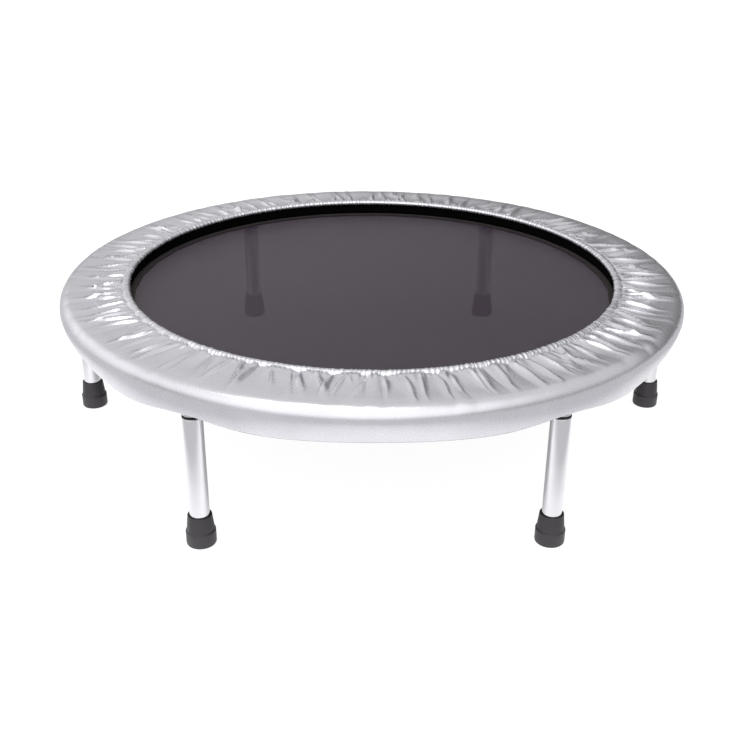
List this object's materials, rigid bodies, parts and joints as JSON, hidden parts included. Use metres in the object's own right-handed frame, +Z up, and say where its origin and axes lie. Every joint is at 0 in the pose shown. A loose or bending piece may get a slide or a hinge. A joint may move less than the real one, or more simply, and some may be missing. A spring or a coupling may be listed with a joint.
{
  "type": "mini trampoline",
  "caption": "Round mini trampoline: sprung mesh mat in a steel ring under a gathered silver skirt, on screw-in tube legs with rubber feet.",
  "frame": {"origin": "on the floor, below the middle of the mat", "axes": "+Z up; +X to the right and +Y away from the viewer of the picture; legs at 60 degree steps, two of them on the X axis"},
  "size_m": [0.92, 0.9158, 0.2288],
  "materials": {
    "silver_cloth": "silver coated cloth, satin to glossy",
    "mat_mesh": "fine dark woven mesh, slightly see-through",
    "edge_webbing": "black woven webbing",
    "elastic": "pale woven elastic",
    "ring_steel": "zinc plated steel tube",
    "spring_steel": "zinc plated spring wire",
    "leg_chrome": "bright plated tube",
    "washer_black": "matte black",
    "foot_rubber": "charcoal rubber with a soft sheen"
  },
  "bodies": {
    "frame": {"frame_ring": "ring_steel", "skirt_cover": "silver_cloth", "skirt_hem_elastic": "elastic", "skirt_edge_elastic": "elastic", "spring_01": "spring_steel", "spring_02": "spring_steel", "spring_03": "spring_steel", "spring_04": "spring_steel", "spring_05": "spring_steel", "spring_06": "spring_steel", "spring_07": "spring_steel", "spring_08": "spring_steel", "spring_09": "spring_steel", "spring_10": "spring_steel", "spring_11": "spring_steel", "spring_12": "spring_steel", "spring_13": "spring_steel", "spring_14": "spring_steel", "spring_15": "spring_steel", "spring_16": "spring_steel", "spring_17": "spring_steel", "spring_18": "spring_steel", "spring_19": "spring_steel", "spring_20": "spring_steel", "spring_21": "spring_steel", "spring_22": "spring_steel", "spring_23": "spring_steel", "spring_24": "spring_steel", "spring_25": "spring_steel", "spring_26": "spring_steel", "spring_27": "spring_steel", "spring_28": "spring_steel", "spring_29": "spring_steel", "spring_30": "spring_steel", "spring_31": "spring_steel", "spring_32": "spring_steel", "spring_33": "spring_steel", "spring_34": "spring_steel", "spring_35": "spring_steel", "spring_36": "spring_steel"},
    "mat": {"jumping_mat": "mat_mesh", "mat_edge_band": "edge_webbing"},
    "washer_1": {"leg_washer_1": "washer_black"},
    "leg_1": {"screw_leg_1": "leg_chrome", "rubber_foot_1": "foot_rubber"},
    "washer_2": {"leg_washer_2": "washer_black"},
    "leg_2": {"screw_leg_2": "leg_chrome", "rubber_foot_2": "foot_rubber"},
    "washer_3": {"leg_washer_3": "washer_black"},
    "leg_3": {"screw_leg_3": "leg_chrome", "rubber_foot_3": "foot_rubber"},
    "washer_4": {"leg_washer_4": "washer_black"},
    "leg_4": {"screw_leg_4": "leg_chrome", "rubber_foot_4": "foot_rubber"},
    "washer_5": {"leg_washer_5": "washer_black"},
    "leg_5": {"screw_leg_5": "leg_chrome", "rubber_foot_5": "foot_rubber"},
    "washer_6": {"leg_washer_6": "washer_black"},
    "leg_6": {"screw_leg_6": "leg_chrome", "rubber_foot_6": "foot_rubber"}
  },
  "joints": [
    {"name": "mat_bounce", "type": "slide", "parent": "frame", "child": "mat", "axis": [0, 0, -1], "range_m": [0, 0.045], "stiffness_N_per_m": 20000, "deforming": ["spring_01", "spring_02", "spring_03", "spring_04", "spring_05", "spring_06", "spring_07", "spring_08", "spring_09", "spring_10", "spring_11", "spring_12", "spring_13", "spring_14", "spring_15", "spring_16", "spring_17", "spring_18", "spring_19", "spring_20", "spring_21", "spring_22", "spring_23", "spring_24", "spring_25", "spring_26", "spring_27", "spring_28", "spring_29", "spring_30", "spring_31", "spring_32", "spring_33", "spring_34", "spring_35", "spring_36"]},
    {"name": "leg_1_lower", "type": "slide", "parent": "frame", "child": "washer_1", "axis": [0, 0, -1], "range_m": [0, 0.0165]},
    {"name": "leg_1_unscrew", "type": "hinge", "parent": "washer_1", "child": "leg_1", "pos_m": [-0.2205, -0.38192, 0.18], "axis": [0, 0, -1], "range_deg": [0, 3961]},
    {"name": "leg_2_lower", "type": "slide", "parent": "frame", "child": "washer_2", "axis": [0, 0, -1], "range_m": [0, 0.0165]},
    {"name": "leg_2_unscrew", "type": "hinge", "parent": "washer_2", "child": "leg_2", "pos_m": [0.2205, -0.38192, 0.18], "axis": [0, 0, -1], "range_deg": [0, 3961]},
    {"name": "leg_3_lower", "type": "slide", "parent": "frame", "child": "washer_3", "axis": [0, 0, -1], "range_m": [0, 0.0165]},
    {"name": "leg_3_unscrew", "type": "hinge", "parent": "washer_3", "child": "leg_3", "pos_m": [0.441, 0, 0.18], "axis": [0, 0, -1], "range_deg": [0, 3961]},
    {"name": "leg_4_lower", "type": "slide", "parent": "frame", "child": "washer_4", "axis": [0, 0, -1], "range_m": [0, 0.0165]},
    {"name": "leg_4_unscrew", "type": "hinge", "parent": "washer_4", "child": "leg_4", "pos_m": [0.2205, 0.38192, 0.18], "axis": [0, 0, -1], "range_deg": [0, 3961]},
    {"name": "leg_5_lower", "type": "slide", "parent": "frame", "child": "washer_5", "axis": [0, 0, -1], "range_m": [0, 0.0165]},
    {"name": "leg_5_unscrew", "type": "hinge", "parent": "washer_5", "child": "leg_5", "pos_m": [-0.2205, 0.38192, 0.18], "axis": [0, 0, -1], "range_deg": [0, 3961]},
    {"name": "leg_6_lower", "type": "slide", "parent": "frame", "child": "washer_6", "axis": [0, 0, -1], "range_m": [0, 0.0165]},
    {"name": "leg_6_unscrew", "type": "hinge", "parent": "washer_6", "child": "leg_6", "pos_m": [-0.441, 0, 0.18], "axis": [0, 0, -1], "range_deg": [0, 3961]}
  ],
  "couplings": [
    {"joint": "leg_1_unscrew", "follows": "leg_1_lower", "rad_per_m": 4188.8},
    {"joint": "leg_2_unscrew", "follows": "leg_2_lower", "rad_per_m": 4188.8},
    {"joint": "leg_3_unscrew", "follows": "leg_3_lower", "rad_per_m": 4188.8},
    {"joint": "leg_4_unscrew", "follows": "leg_4_lower", "rad_per_m": 4188.8},
    {"joint": "leg_5_unscrew", "follows": "leg_5_lower", "rad_per_m": 4188.8},
    {"joint": "leg_6_unscrew", "follows": "leg_6_lower", "rad_per_m": 4188.8}
  ]
}
